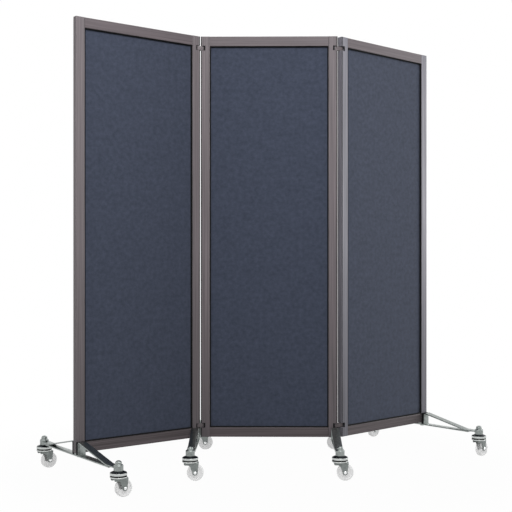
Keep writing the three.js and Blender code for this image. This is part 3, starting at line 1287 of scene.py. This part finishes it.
@dataclass
class FootKit:
    """The sizes of a foot, and the meshes that all feet share. Its arms run along -Y and +Y."""

    span: float = 313 * MM  # from the bolt's axis to a socket's
    width: float = 33 * MM
    thick: float = 5 * MM
    bottom: float = 102 * MM
    frame_bottom: float = 114 * MM
    rise: float = 46 * MM  # how far the uprights stand above the frame's bottom
    landing: float = 245 * MM  # from the bolt's axis to where a strut comes down on the bar
    lap: float = 20 * MM  # how far the lower bar goes on beyond the landing
    bend: float = 7 * MM
    edge: float = 0.9 * MM
    # The lug is as wide as the stile and black, so it also paints the shade between the upright and
    # the stile.
    lug: RubberPad = RubberPad(108.5 * MM, 49 * MM, 38 * MM, 0.6 * MM)
    lug_tip: float = 12.3 * MM  # from the bolt's axis
    buffer: RubberPad = RubberPad(116 * MM, 38 * MM, 31 * MM, 0.2 * MM)
    buffer_thick: float = 0.8 * MM
    pad_length: float = 18 * MM
    pad_edge: float = 0.6 * MM
    socket_radius: float = 18 * MM
    socket_bottom: float = 97 * MM
    socket_body: float = 20 * MM
    shoulder: float = 6 * MM
    nut_radius: float = 12 * MM
    nut_height: float = 12 * MM
    bolt_head: float = 8.5 * MM
    bolt_head_height: float = 5 * MM
    bolt_radius: float = 5 * MM
    bolt_top: float = 136 * MM
    gap: float = 0.3 * MM  # from the foot to the frame and the bolt's head
    drop: float = 1.5 * MM  # radius of one drop of a weld
    drop_step: float = 1.65 * MM
    weld_inset: float = 1.5 * MM  # from the bar's edge to a weld's end
    weld_before: float = 12 * MM  # from the landing back to its first weld

    def __post_init__(self) -> None:
        """Makes the shared meshes."""
        self.bar_end = self.span - self.socket_radius / 2
        self.top = self.bottom + self.thick
        end, middle = self.landing + self.lap, self.bottom + self.thick / 2
        self.bar = self.strip([(-end, middle), (end, middle)], "foot_bar")
        half, side = self.pad_length / 2, self.width / 2
        pad = rectangle((-half, half), (self.top, self.frame_bottom - self.gap))
        self.pad = block(pad, -side, side, "YZX", self.pad_edge, "foot_pad")
        self.socket = self.make_socket()
        self.bolt = self.make_bolt()

    def strip(self, path: Sequence[Point], name: str) -> Mesh:
        """Bends a length of the foot's flat bar.

        Args:
            path: The points of its middle line, as Y and Z.
            name: The mesh's name.

        Returns:
            The mesh.
        """
        return bent_strip(path, self.width, self.thick - SKIN, self.edge, name)

    def make_socket(self) -> Mesh:
        """Turns the round socket and its domed nut.

        Returns:
            The mesh, on the Z axis.
        """
        r, foot, neck = self.socket_radius, self.socket_bottom, self.nut_radius
        waist = foot + self.socket_body
        nut = waist + self.shoulder
        top = nut + self.nut_height
        profile = [
            (0, foot, 0),
            (r, foot, 1.2 * MM),
            (r, waist, 2.5 * MM),
            (neck + MM, nut - MM, MM),
            (neck, nut, 0.4 * MM),
            (neck, nut + self.nut_height / 2, 5 * MM),
            (neck * 0.6, top - 1.2 * MM, 4 * MM),
            (0, top, 0),
        ]
        return turned(rounded(profile, False), "socket")

    def make_bolt(self) -> Mesh:
        """Makes the hexagon bolt that holds the foot up to the stile.

        Returns:
            The mesh, on the Z axis.
        """
        r, top, end = self.bolt_head, self.bottom - self.gap, self.bolt_top
        angles = [i * math.pi / 3 for i in range(6)]
        hexagon = [(r * math.cos(a), r * math.sin(a)) for a in angles]
        head = block(hexagon, top - self.bolt_head_height, top, "XYZ", 0.6 * MM, "bolt_head")
        root, radius = top - MM, self.bolt_radius
        shank = turned([(0, root), (radius, root), (radius, end), (0, end)], "bolt_shank", 32)
        return joined((head, shank), "foot_bolt")

    def strut(self, room: float, sign: int) -> Mesh:
        """Bends the strut of one arm: up beside the panel, down to the bar and along it.

        Args:
            room: From the bolt's axis to the upright's inner face.
            sign: -1 for the front arm, 1 for the back one.

        Returns:
            The mesh.
        """
        half = self.thick / 2
        corners = [
            (room + half, self.top + SKIN, 0),
            (room + half, self.frame_bottom + self.rise - half, self.bend),
            (self.landing, self.top + half, self.bend),
            (self.bar_end, self.top + half, 0),
        ]
        return self.strip([(sign * y, z) for y, z in rounded(corners, False, 8)], "strut")

    def rubber(self, pad: RubberPad, inner: float, outer: float, sign: int) -> Mesh:
        """Makes the rubber between an upright and the stile.

        Args:
            pad: Its sizes.
            inner: From the bolt's axis to its inner face.
            outer: From the bolt's axis to its outer face.
            sign: -1 for the front upright, 1 for the back one.

        Returns:
            The mesh.
        """
        low, high = sorted((sign * inner, sign * outer))
        outline = rectangle((low, high), (pad.low, pad.low + pad.height))
        return block(outline, -pad.width / 2, pad.width / 2, "YZX", pad.edge, "rubber")

    def seams(self, room: float) -> Mesh:
        """Lays the weld seams across both arms.

        Args:
            room: From the bolt's axis to an upright's inner face.

        Returns:
            The mesh of every drop.
        """
        half = self.width / 2 - self.weld_inset
        landing = (self.landing - self.weld_before, self.landing + self.lap)
        places = [sign * y for sign in (-1, 1) for y in (room, room + self.thick, *landing)]
        points = [(x, y, self.top) for y in places for x in (-half, half)]
        start = bpy.data.meshes.new("seam_lines")
        start.from_pydata(points, [(i, i + 1) for i in range(0, len(points), 2)], [])
        sizes = {"Drop Radius": self.drop, "Drop Spacing": self.drop_step}
        return WeldBead().mesh(start, ZINC, sizes)


@dataclass
class Foot(Assembly):
    """One foot: a lower bar, two bent struts, a socket at each end and the bolt to the stile."""

    kit: FootKit
    bolt_body: str
    room: float  # from the bolt's axis to an upright's inner face
    lugged: bool  # whether lugs hold it straight under the stile

    def build(self) -> None:
        """Fits the foot's pieces over its node and its bolt's."""
        kit, room = self.kit, self.room
        front, back = (
            Vector(joint(f"{self.name}_{side}_swivel")["pos_m"]) for side in ("front", "back")
        )
        middle = centre_of(f"{self.name}_foot_bolt")
        turn = Stance.between(front, back).turn - math.pi / 2
        self.stance = Stance(Vector((middle.x, middle.y, 0)), turn)
        self.fit("foot_bar", kit.bar, ZINC, "foot")
        self.fit("foot_pad", kit.pad, ZINC)
        self.fit("foot_welds", kit.seams(room), ZINC)
        self.fit("foot_bolt_hexagon", kit.bolt, ZINC, "foot_bolt", self.bolt_body)
        for side, sign in (("front", -1), ("back", 1)):
            self.fit(f"{side}_strut", kit.strut(room, sign), ZINC)
            move = Matrix.Translation((0, sign * kit.span, 0))
            self.fit(f"{side}_socket", kit.socket, ZINC, move=move)
            # Painted shade: an end foot's black lug stands in for the shadow between its upright
            # and the stile.
            if self.lugged:
                part, mesh = "lug", kit.rubber(kit.lug, kit.lug_tip, room, sign)
            else:
                inner = room - kit.buffer_thick
                part, mesh = "buffer", kit.rubber(kit.buffer, inner, room - SKIN, sign)
            self.fit(f"{side}_{part}", mesh, BLACK_RUBBER_AND_PAINTED_SHADE)


# Casters.


@dataclass
class CasterKit:
    """The sizes of a caster and its meshes. Its swivel axis is Z and its wheel trails along +X."""

    wheel_radius: float = 32.5 * MM
    wheel_width: float = 22 * MM
    hub_radius: float = 11 * MM
    rim_depth: float = 7 * MM
    web_sink: float = 4 * MM
    axle_radius: float = 4 * MM
    axle_head: float = 6.2 * MM
    axle_head_height: float = 2.6 * MM
    trail: float = 20 * MM  # from the swivel axis to the axle
    plate: float = 3 * MM
    fork_edge: float = 0.4 * MM
    fork_bend: float = 3.9 * MM  # outer radius of the fork's two bends
    play: float = 1.5 * MM  # from the wheel to the fork's sides
    crown_play: float = 4 * MM  # from the wheel to the fork's crown
    front: float = 24 * MM  # the crown's reach before the swivel axis
    rear: float = 33 * MM  # and behind it
    lip: float = 7.5 * MM  # how far the sides hang from the crown in front
    nose: float = 9.5 * MM  # radius of the sides round the axle
    nose_lean: float = 2 * MM
    shin: float = 22 * MM  # radius of the sides' concave front
    race_radius: float = 32 * MM
    race_neck: float = 19 * MM
    race_top: float = 96.7 * MM
    cup_height: float = 18.8 * MM
    stem_radius: float = 5 * MM
    stem_top: float = 117 * MM
    gap: float = 0.3 * MM  # between the parts that turn on each other

    def __post_init__(self) -> None:
        """Works out the levels and makes the meshes once for all casters."""
        self.crown_low = 2 * self.wheel_radius + self.crown_play
        self.crown_high = self.crown_low + self.plate
        self.fork_width = self.wheel_width + 2 * self.play + 2 * self.plate
        self.fork = self.make_fork()
        self.race, self.seal, self.cap = self.make_race()
        self.axle = self.make_axle()
        self.wheel = self.make_wheel()

    def make_fork(self) -> Mesh:
        """Bends the fork: a channel, trimmed to a side view that tapers down to the axle.

        Returns:
            The mesh.
        """
        n, axle, low, high = self.nose, self.wheel_radius, self.crown_low, self.crown_high
        lip, trail = low - self.lip, self.trail
        side = [
            (-self.front, high, 0),
            (-self.front, lip, 2 * self.plate),
            (trail - self.shin, lip, self.shin / 2),
            (trail - n - self.nose_lean, axle + n / 2, self.shin),
            (trail - n, axle - n, n),
            (trail + n, axle - n, n),
            (trail + n, axle + n, n),
            (self.rear, low - self.plate, self.plate),
            (self.rear, high, 0),
        ]
        half, bend = self.fork_width / 2, self.fork_bend
        inner = half - self.plate
        outside = [(-half, 0, 0), (-half, high, bend), (half, high, bend), (half, 0, 0)]
        inside = [(inner, 0, 0), (inner, low, bend / 3), (-inner, low, bend / 3), (-inner, 0, 0)]
        wide, long = self.fork_width, 2 * self.rear
        outline = block(rounded(side, True, 8), -wide, wide, "XZY", 0, "fork_side")
        channel = rounded(outside + inside, True, 4)
        bent = block(channel, -long, long, "YZX", 0, "fork_channel")
        return common_part(outline, bent, self.fork_edge, "fork")

    def make_race(self) -> tuple[Mesh, Mesh, Mesh]:
        """Turns the swivel race in its two cups, the seal between them and the black cap over the
        upper cup's cone.

        Returns:
            The cups with the stem, the seal and the cap.
        """
        base, top, r = self.crown_high, self.race_top, self.race_radius
        shoulder, stem, bore = base + self.cup_height, self.stem_radius, self.stem_radius + MM
        # Each corner's place from the rim, its height over the crown and its rounding, in mm.
        lower_cup = ((-2, 0.05, 0.5), (0, 1.5, 1.2), (0, 5, 1.2), (-3.5, 5.6, 0.3))
        upper_cup = ((-3.5, 9.8, 0.3), (-0.3, 10.4, 1.2), (-0.3, self.cup_height / MM, 1.2))
        lip = ((-4, 5.7, 0), (-1.8, 6, 0.8), (-1.8, 9.4, 0.8), (-4, 9.7, 0))
        cups, seal = (
            [(r + x * MM, base + z * MM, bend * MM) for x, z, bend in corners]
            for corners in (lower_cup + upper_cup, lip)
        )
        stud = [(stem, shoulder, 0), (stem, self.stem_top, 0), (0, self.stem_top, 0)]
        cap = [
            (bore, top, 0),
            (self.race_neck, top, 1.5 * MM),
            (r - 1.8 * MM, shoulder + MM, 1.5 * MM),
            (r - 2.2 * MM, shoulder + SKIN, 0.3 * MM),
            (bore, shoulder + SKIN, 0),
        ]
        return (
            turned(rounded([(0, base + SKIN, 0), *cups, *stud], False), "race"),
            turned(rounded(seal, True), "seal"),
            turned(rounded(cap, True), "dust_cap"),
        )

    def along_y(self, mesh: Mesh) -> Mesh:
        """Lays a turned mesh on the wheel's axis.

        Args:
            mesh: A mesh turned about Z, which is moved.

        Returns:
            The same mesh.
        """
        centre = Matrix.Translation((self.trail, 0, self.wheel_radius))
        mesh.transform(centre @ Matrix.Rotation(-math.pi / 2, 4, "X"))
        return mesh

    def make_axle(self) -> Mesh:
        """Turns the riveted axle with its two domed heads.

        Returns:
            The mesh.
        """
        face = self.fork_width / 2 + self.gap
        tip, head = face + self.axle_head_height, self.axle_head
        half = [
            (self.axle_radius, 0, 0),
            (self.axle_radius, face, 0),
            (head, face, 0.5 * MM),
            (head * 0.86, face + 0.55 * self.axle_head_height, 2.5 * MM),
            (head * 0.4, tip, 2 * MM),
            (0, tip, 0),
        ]
        upper = rounded(half, False, 5)[1:]
        lower = [(r, -z) for r, z in reversed(upper)]
        return self.along_y(turned(lower + upper, "axle", 48))

    def make_wheel(self) -> Mesh:
        """Turns the wheel: tread, rim, sunken web and hub.

        Returns:
            The mesh.
        """
        side, r = self.wheel_width / 2, self.wheel_radius
        rim, boss, web = r - self.rim_depth, side + self.play - self.gap, side - self.web_sink
        half = [
            (self.axle_radius + self.gap, boss, 0.4 * MM),
            (self.hub_radius, boss, 1.2 * MM),
            (self.hub_radius + 1.5 * MM, web, 1.6 * MM),
            (rim - 1.5 * MM, web, 1.6 * MM),
            (rim, side, 1.0 * MM),
            (r - 1.5 * MM, side, 2.6 * MM),
            (r, side - 5 * MM, 4 * MM),
        ]
        other = [(radius, -y, bend) for radius, y, bend in reversed(half)]
        return self.along_y(turned(rounded(half + other, True, 5), "wheel", 96))


@dataclass
class Caster(Assembly):
    """One swivel caster under the end of an arm."""

    kit: CasterKit

    def build(self) -> None:
        """Fits the caster's pieces over its three nodes."""
        axis = joint(f"{self.name}_roll")["axis"]
        x, y, _ = joint(f"{self.name}_swivel")["pos_m"]
        self.stance = Stance(Vector((x, y, 0)), math.atan2(axis[1], axis[0]) - math.pi / 2)
        kit = self.kit
        self.fit("fork_plate", kit.fork, PRESSED_ZINC, "fork")
        self.fit("race", kit.race, ROLLED_ZINC)
        self.fit("seal", kit.seal, BLACK_RUBBER_AND_PAINTED_SHADE)
        # A black cap over the cone of the upper cup.
        self.fit("dust_cap", kit.cap, BLACK_STEEL)
        self.fit("axle_rivet", kit.axle, BRIGHT_ZINC, "axle")
        self.fit("nylon_wheel", kit.wheel, NYLON, "wheel", f"{self.name}_wheel")


# Studio.


@dataclass(frozen=True)
class Lamp:
    """A square soft lamp, in metres and watts."""

    name: str
    place: tuple[float, float, float]
    size: float
    power: float


@dataclass
class Studio:
    """The camera, the pale floor, the lamps and the world."""

    lens: float = 67.97
    sensor: float = 36.0
    eye: Point = (-5.6 * MM, -4114.6 * MM)  # from the centre panel's middle
    eye_height: float = 868.8 * MM
    pan: float = math.radians(0.7)
    rise_share: float = 0.0061
    floor_size: float = 60.0
    floor_sink: float = 0.5 * MM
    shadow_from: float = 0.8  # the floor keeps its shadow up to here from the middle
    shadow_to: float = 1.6  # and is plain white from here on
    near_white: float = 0.98  # how much of the near floor is plain white
    ambient: float = 0.2
    aim: tuple[float, float, float] = (0, 0, 1.1)
    lights: tuple[Lamp, ...] = (
        Lamp("high_front", (0.4, -2.5, 2.9), 2.0, 66),
        Lamp("right", (4.4, 1.2, 1.6), 1.6, 73),
        Lamp("left", (-3.6, -2.8, 1.8), 2.0, 24),
        Lamp("back", (0.0, 3.6, 3.0), 2.4, 50),
    )

    def build(self) -> None:
        """Sets the whole studio up."""
        self.camera()
        self.floor()
        self.lamps()
        self.world()
        bpy.context.scene.view_settings.view_transform = "Standard"

    def camera(self) -> None:
        """Places the camera of the photograph."""
        data = bpy.data.cameras.new("camera")
        data.lens, data.sensor_width, data.shift_y = self.lens, self.sensor, self.rise_share
        camera = placed("camera", data)
        middle = centre_of("centre_panel_fabric_board")
        camera.location = (middle.x + self.eye[0], middle.y + self.eye[1], self.eye_height)
        camera.rotation_euler = (math.pi / 2, 0, self.pan)
        bpy.context.scene.camera = camera

    def seen(self, tree: Tree) -> Node:
        """Tells the rays that see the background from those that light things.

        Args:
            tree: A material's or the world's tree.

        Returns:
            A node that gives 1 for camera, glossy and transmission rays.
        """
        path = add_node(tree, "ShaderNodeLightPath").outputs
        most: Any = path["Is Camera Ray"]
        for ray in ("Is Glossy Ray", "Is Transmission Ray"):
            most = add_node(tree, "ShaderNodeMath", {0: most, 1: path[ray]}, operation="MAXIMUM")
        return most

    def floor(self) -> None:
        """Lays a white floor that keeps a faint shadow near the screen."""
        reach = (-self.floor_size / 2, self.floor_size / 2)
        mesh = bpy.data.meshes.new("floor")
        mesh.from_pydata([(x, y, 0) for x, y in rectangle(reach, reach)], [], [(0, 1, 2, 3)])
        floor = placed("floor", mesh)
        floor.location.z = -self.floor_sink
        material = bpy.data.materials.new("pale_floor")
        material.use_nodes = True
        tree = material.node_tree
        tree.nodes.clear()
        place = add_node(tree, "ShaderNodeTexCoord").outputs["Object"]
        far = add_node(tree, "ShaderNodeVectorMath", {0: place}, operation="LENGTH")
        cover = add_node(
            tree,
            "ShaderNodeMapRange",
            {
                "Value": far.outputs["Value"],
                "From Min": self.shadow_from,
                "From Max": self.shadow_to,
                "To Min": self.near_white,
                "To Max": 1.0,
            },
            interpolation_type="SMOOTHSTEP",
        )
        both = {0: cover, 1: self.seen(tree)}
        share = add_node(tree, "ShaderNodeMath", both, operation="MULTIPLY")
        matt = add_node(tree, "ShaderNodeBsdfDiffuse", {"Color": linear("#808080")})
        glow = {"Color": linear("#ffffff"), "Strength": 1.0}
        white = add_node(tree, "ShaderNodeEmission", glow)
        mix = add_node(tree, "ShaderNodeMixShader", {0: share, 1: matt, 2: white})
        add_node(tree, "ShaderNodeOutputMaterial", {"Surface": mix})
        mesh.materials.append(material)

    def lamps(self) -> None:
        """Hangs a large soft lamp high in front and a weaker one on each side."""
        for light in self.lights:
            data = bpy.data.lights.new(light.name, "AREA")
            data.shape, data.size, data.energy = "SQUARE", light.size, light.power
            lamp = placed(light.name, data)
            lamp.location = light.place
            way = Vector(self.aim) - Vector(light.place)
            lamp.rotation_euler = way.to_track_quat("-Z", "Y").to_euler()

    def world(self) -> None:
        """Makes the world white to look at and dimmer as a light."""
        world = bpy.data.worlds.new("studio")
        world.use_nodes = True
        tree = world.node_tree
        tree.nodes.clear()
        levels = {"Value": self.seen(tree), "To Min": self.ambient, "To Max": 1.0}
        strength = add_node(tree, "ShaderNodeMapRange", levels)
        sky = {"Color": linear("#ffffff"), "Strength": strength}
        back = add_node(tree, "ShaderNodeBackground", sky)
        add_node(tree, "ShaderNodeOutputWorld", {"Surface": back})
        bpy.context.scene.world = world


def panels() -> list[Assembly]:
    """Sets out the three panels.

    Returns:
        The centre, the left and the right panel.
    """
    kit = PanelKit()
    pin = centre_of("left_hinge_top_right_pin").x - kit.left_edge
    bolt = kit.stile_width / 2
    left = ("left_end_foot_bolt", "left_hinge_top_left_pin")
    centre = ("left_hinge_top_right_pin", "right_hinge_top_left_pin")
    right = ("right_hinge_top_right_pin", "right_end_foot_bolt")
    return [
        Panel("centre_panel", "centre_panel", kit, centre, pin, 3.7, ("left", "right"), COAT),
        Panel("left_panel", "left_panel", kit, left, bolt, 7.4, ("right",), LEFT_PAINTED_LIGHT_COAT),
        Panel("right_panel", "right_panel", kit, right, pin, 11.1, ("left",), RIGHT_PAINTED_COOL_LIGHT_COAT),
    ]


def feet() -> list[Assembly]:
    """Sets out the four feet, each with its two casters.

    Returns:
        The feet and casters from left to right.
    """
    kit, casters = FootKit(), CasterKit()
    made: list[Assembly] = []
    for name, body, bolt_body, room, lugged in (
        ("left_end", "left_panel", "left_panel", 20 * MM, True),
        ("left_hinge", "left_hinge_foot", "left_panel", 30 * MM, False),
        ("right_hinge", "right_hinge_foot", "centre_panel", 30 * MM, False),
        ("right_end", "right_panel", "right_panel", 20 * MM, True),
    ):
        made.append(Foot(name, body, kit, bolt_body, room, lugged))
        for side in ("front", "back"):
            made.append(Caster(f"{name}_{side}", f"{name}_{side}_caster", casters))
    return made


def main() -> None:
    """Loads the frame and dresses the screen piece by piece."""
    FRAME.update(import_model())
    Studio().build()
    links = [
        HingeLink(f"{side}_hinge_{end}", f"{side}_links")
        for side in ("left", "right")
        for end in ("top", "bottom")
    ]
    assemblies = [*panels(), *links, *feet()]
    for assembly in assemblies:
        assembly.build()
    log.info("%d pieces fitted", sum(len(assembly.pieces) for assembly in assemblies))


if __name__ == "__main__":
    logging.basicConfig(level=logging.INFO)
    main()
